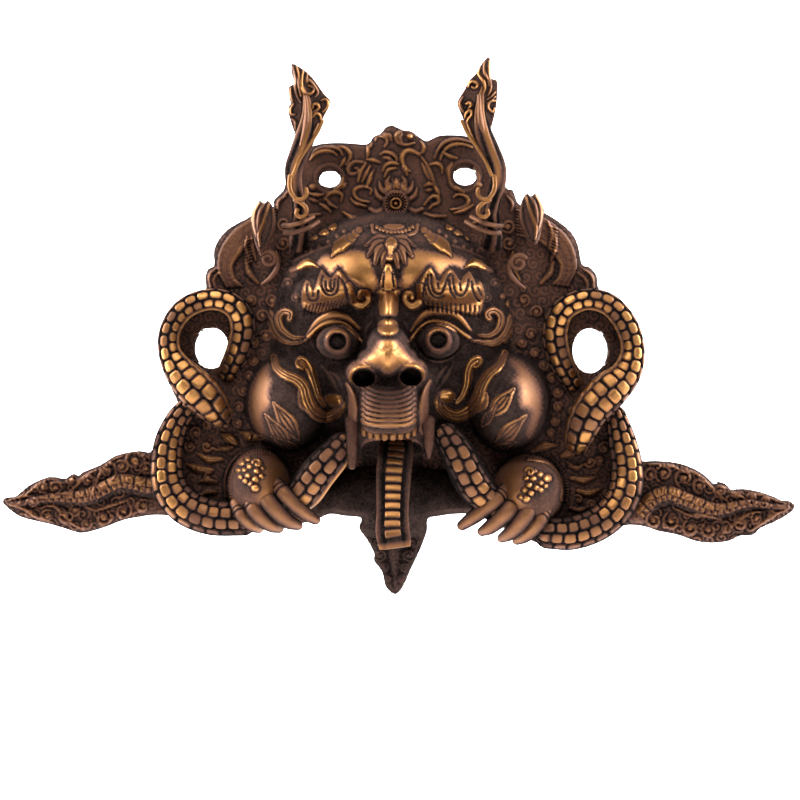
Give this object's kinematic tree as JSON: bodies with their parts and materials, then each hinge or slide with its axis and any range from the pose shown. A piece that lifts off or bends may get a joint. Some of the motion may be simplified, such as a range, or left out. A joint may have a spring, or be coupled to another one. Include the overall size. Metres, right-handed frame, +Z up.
{
  "type": "wall mask",
  "caption": "Cast bronze guardian mask for a wall: wrathful face with open mouth and long tongue, scaled snakes held in clawed fists, tall flame-tipped horns.",
  "frame": {"origin": "on the flat back of the crown, midway between the two nail holes", "axes": "+Z up the wall, +X to the right as one faces the mask, +Y into the wall: the face looks along -Y"},
  "size_m": [0.4734, 0.1014, 0.3122],
  "materials": {
    "antique_bronze": "dark brown patina, rubbed golden on the high places"
  },
  "bodies": {
    "root": {"mask": "antique_bronze"}
  },
  "joints": []
}
